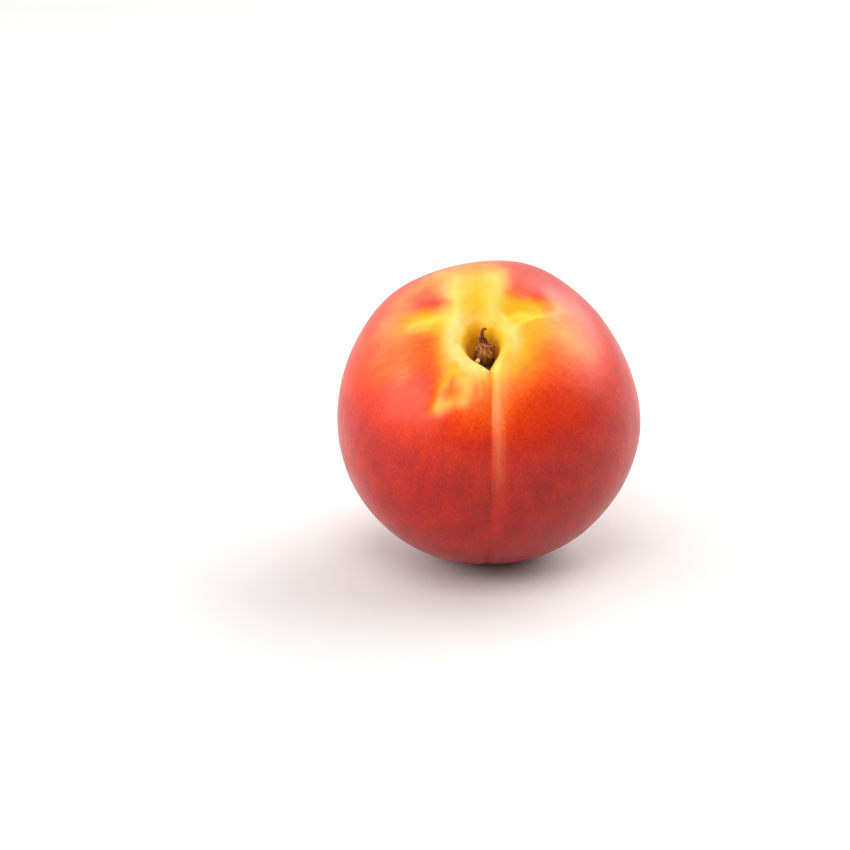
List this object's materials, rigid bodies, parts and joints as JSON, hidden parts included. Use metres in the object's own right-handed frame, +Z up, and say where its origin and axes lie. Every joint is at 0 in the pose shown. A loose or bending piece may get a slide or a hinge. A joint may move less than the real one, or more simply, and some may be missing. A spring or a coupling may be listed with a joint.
{
  "type": "nectarine",
  "caption": "Whole ripe nectarine leaning so its stem cavity faces forward and up, with a dried stem stub, resting on a small flat spot.",
  "frame": {"origin": "centre of the bounding box seen from above, at the level of the flat spot the fruit stands on", "axes": "+Z up; the fruit leans 39 degrees from upright so that its stem cavity faces -Y and up; the suture runs down the -Y side; +X is to the right seen from -Y"},
  "size_m": [0.068, 0.0674, 0.0669],
  "materials": {
    "skin": "smooth waxy satin skin, yellow and orange at the stem end, flushed red to crimson round the cheeks",
    "stalk": "dull dried stalk, wrinkled lengthwise"
  },
  "bodies": {
    "root": {"nectarine_fruit": "skin", "stem_stub": "stalk"}
  },
  "joints": []
}
